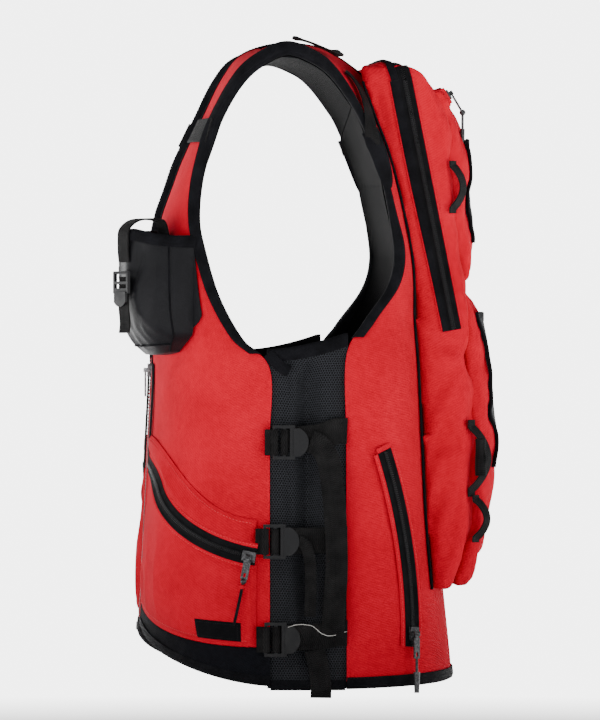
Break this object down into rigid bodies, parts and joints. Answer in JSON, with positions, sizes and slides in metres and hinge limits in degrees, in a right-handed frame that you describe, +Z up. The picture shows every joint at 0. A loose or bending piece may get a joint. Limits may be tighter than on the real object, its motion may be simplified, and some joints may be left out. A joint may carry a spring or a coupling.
{
  "type": "safety harness vest",
  "caption": "Padded work vest with front zip, cargo pockets, chest pouch, adjustable mesh sides and an integrated rucksack on the back.",
  "frame": {"origin": "on the wearer's trunk axis, level with the lowest point of the side hem", "axes": "+Z up, chest toward -Y, rucksack toward +Y, wearer's left toward +X"},
  "size_m": [0.4076, 0.3697, 0.6337],
  "materials": {
    "red_fabric": "coarse woven nylon",
    "black_fabric": "binding tape",
    "lining_fabric": "padded lining",
    "mesh_fabric": "open knitted mesh",
    "webbing": "woven webbing",
    "zip_tape": "coil zip on woven tape",
    "pouch_nylon": "soft coated nylon",
    "cord": "braided cord",
    "buckle_plastic": "moulded, satin",
    "zip_metal": "dark lacquer",
    "patch": "smooth woven patch"
  },
  "bodies": {
    "vest": {"front_panel_left": "red_fabric", "front_panel_right": "red_fabric", "shoulder_yokes": "red_fabric", "back_panel": "red_fabric", "side_mesh_left": "mesh_fabric", "side_mesh_right": "mesh_fabric", "front_lining_left": "lining_fabric", "front_lining_right": "lining_fabric", "back_lining": "lining_fabric", "hem_facing_left": "black_fabric", "hem_facing_right": "black_fabric", "back_hem_binding": "black_fabric", "armhole_binding_left": "black_fabric", "armhole_binding_right": "black_fabric", "neck_binding": "black_fabric", "shoulder_webbing": "webbing", "front_zip": "zip_tape", "cargo_pocket_left": "red_fabric", "cargo_pocket_right": "red_fabric", "cargo_zip_left": "zip_tape", "cargo_zip_right": "zip_tape", "label_patch": "patch", "chest_pouch": "pouch_nylon", "pouch_strap": "webbing", "chest_zips": "zip_tape", "side_straps_left": "webbing", "side_straps_right": "webbing", "hip_zip_left": "zip_tape", "hip_zip_right": "zip_tape", "pack_body": "red_fabric", "pack_lower_pocket": "red_fabric", "pack_outer_pocket": "red_fabric", "pack_main_zip": "zip_tape", "pack_outer_zip": "zip_tape", "pack_webbing": "webbing"},
    "front_slider": {"front_slider": "zip_metal"},
    "front_puller": {"front_puller": "zip_metal"},
    "cargo_slider_left": {"cargo_slider_left": "zip_metal"},
    "cargo_puller_left": {"cargo_puller_left": "zip_metal", "cargo_cord_left": "cord"},
    "cargo_slider_right": {"cargo_slider_right": "zip_metal"},
    "cargo_puller_right": {"cargo_puller_right": "zip_metal", "cargo_cord_right": "cord"},
    "hip_slider_left": {"hip_slider_left": "zip_metal"},
    "hip_puller_left": {"hip_puller_left": "zip_metal"},
    "hip_slider_right": {"hip_slider_right": "zip_metal"},
    "hip_puller_right": {"hip_puller_right": "zip_metal"},
    "pack_main_slider": {"pack_main_slider": "zip_metal"},
    "pack_main_puller": {"pack_main_puller": "zip_metal"},
    "pack_outer_slider": {"pack_outer_slider": "zip_metal"},
    "pack_outer_puller": {"pack_outer_puller": "zip_metal"},
    "top_lock_left": {"top_lock_left": "buckle_plastic"},
    "top_lock_right": {"top_lock_right": "buckle_plastic"},
    "middle_lock_left": {"middle_lock_left": "buckle_plastic"},
    "middle_lock_right": {"middle_lock_right": "buckle_plastic"},
    "bottom_lock_left": {"bottom_lock_left": "buckle_plastic"},
    "bottom_lock_right": {"bottom_lock_right": "buckle_plastic"},
    "pouch_lock": {"pouch_lock": "buckle_plastic"},
    "shoulder_tab_left": {"shoulder_tab_left": "webbing"},
    "shoulder_tab_right": {"shoulder_tab_right": "webbing"}
  },
  "joints": [
    {"name": "front_zip_slide", "type": "slide", "parent": "vest", "child": "front_slider", "axis": [0, 0.0479, 0.9988], "range_m": [-0.234, 0]},
    {"name": "front_pull_swing", "type": "hinge", "parent": "front_slider", "child": "front_puller", "pos_m": [0, -0.14611, 0.3063], "axis": [-1, 0, 0], "range_deg": [-3, 120]},
    {"name": "cargo_zip_run_left", "type": "hinge", "parent": "vest", "child": "cargo_slider_left", "pos_m": [0.1013, -0.02, 0.1935], "axis": [0.5771, 0.028, 0.8162], "range_deg": [-69, 0]},
    {"name": "cargo_pull_swing_left", "type": "hinge", "parent": "cargo_slider_left", "child": "cargo_puller_left", "pos_m": [0.20115, -0.05812, 0.12753], "axis": [-0.233, -0.9522, 0.1975], "range_deg": [0, 110]},
    {"name": "cargo_zip_run_right", "type": "hinge", "parent": "vest", "child": "cargo_slider_right", "pos_m": [-0.1013, -0.02, 0.1935], "axis": [0.5771, -0.028, -0.8162], "range_deg": [-69, 0]},
    {"name": "cargo_pull_swing_right", "type": "hinge", "parent": "cargo_slider_right", "child": "cargo_puller_right", "pos_m": [-0.20115, -0.05812, 0.12753], "axis": [-0.233, 0.9522, -0.1975], "range_deg": [0, 110]},
    {"name": "hip_zip_run_left", "type": "hinge", "parent": "vest", "child": "hip_slider_left", "pos_m": [0.44445, -0.25477, 0.07196], "axis": [0.7947, 0.6048, 0.051], "range_deg": [0, 21.5]},
    {"name": "hip_pull_swing_left", "type": "hinge", "parent": "hip_slider_left", "child": "hip_puller_left", "pos_m": [0.17929, 0.10551, 0.05301], "axis": [0.6033, -0.7964, 0.043], "range_deg": [0, 110]},
    {"name": "hip_zip_run_right", "type": "hinge", "parent": "vest", "child": "hip_slider_right", "pos_m": [-0.44445, -0.25477, 0.07196], "axis": [0.7947, -0.6048, -0.051], "range_deg": [0, 21.5]},
    {"name": "hip_pull_swing_right", "type": "hinge", "parent": "hip_slider_right", "child": "hip_puller_right", "pos_m": [-0.17929, 0.10551, 0.05301], "axis": [0.6033, 0.7964, -0.043], "range_deg": [0, 110]},
    {"name": "pack_main_zip_slide", "type": "slide", "parent": "vest", "child": "pack_main_slider", "axis": [0.0468, -0.1897, 0.9807], "range_m": [0, 0.228]},
    {"name": "pack_main_pull_swing", "type": "hinge", "parent": "pack_main_slider", "child": "pack_main_puller", "pos_m": [-0.13011, 0.14488, 0.35728], "axis": [0.1988, 0.9639, 0.177], "range_deg": [0, 110]},
    {"name": "pack_outer_zip_slide", "type": "slide", "parent": "vest", "child": "pack_outer_slider", "axis": [1, 0, 0], "range_m": [-0.168, 0]},
    {"name": "pack_outer_pull_swing", "type": "hinge", "parent": "pack_outer_slider", "child": "pack_outer_puller", "pos_m": [0.084, 0.1469, 0.57539], "axis": [1, 0, 0], "range_deg": [0, 100]},
    {"name": "top_lock_tilt_left", "type": "hinge", "parent": "vest", "child": "top_lock_left", "pos_m": [0.198, -0.033, 0.237], "axis": [0, 0, -1], "range_deg": [0, 55]},
    {"name": "top_lock_tilt_right", "type": "hinge", "parent": "vest", "child": "top_lock_right", "pos_m": [-0.198, -0.033, 0.237], "axis": [0, 0, 1], "range_deg": [0, 55]},
    {"name": "middle_lock_tilt_left", "type": "hinge", "parent": "vest", "child": "middle_lock_left", "pos_m": [0.198, -0.042, 0.142], "axis": [0, 0, -1], "range_deg": [0, 55]},
    {"name": "middle_lock_tilt_right", "type": "hinge", "parent": "vest", "child": "middle_lock_right", "pos_m": [-0.198, -0.042, 0.142], "axis": [0, 0, 1], "range_deg": [0, 55]},
    {"name": "bottom_lock_tilt_left", "type": "hinge", "parent": "vest", "child": "bottom_lock_left", "pos_m": [0.198, -0.041, 0.048], "axis": [0, 0, -1], "range_deg": [0, 55]},
    {"name": "bottom_lock_tilt_right", "type": "hinge", "parent": "vest", "child": "bottom_lock_right", "pos_m": [-0.198, -0.041, 0.048], "axis": [0, 0, 1], "range_deg": [0, 55]},
    {"name": "pouch_lock_tilt", "type": "hinge", "parent": "vest", "child": "pouch_lock", "pos_m": [0.15402, -0.17717, 0.4], "axis": [-0.891, -0.454, 0], "range_deg": [0, 60]},
    {"name": "shoulder_tab_lift_left", "type": "hinge", "parent": "vest", "child": "shoulder_tab_left", "pos_m": [0.112, -0.007, 0.6275], "axis": [1, 0, 0], "range_deg": [0, 140]},
    {"name": "shoulder_tab_lift_right", "type": "hinge", "parent": "vest", "child": "shoulder_tab_right", "pos_m": [-0.112, -0.007, 0.6275], "axis": [1, 0, 0], "range_deg": [0, 140]}
  ]
}
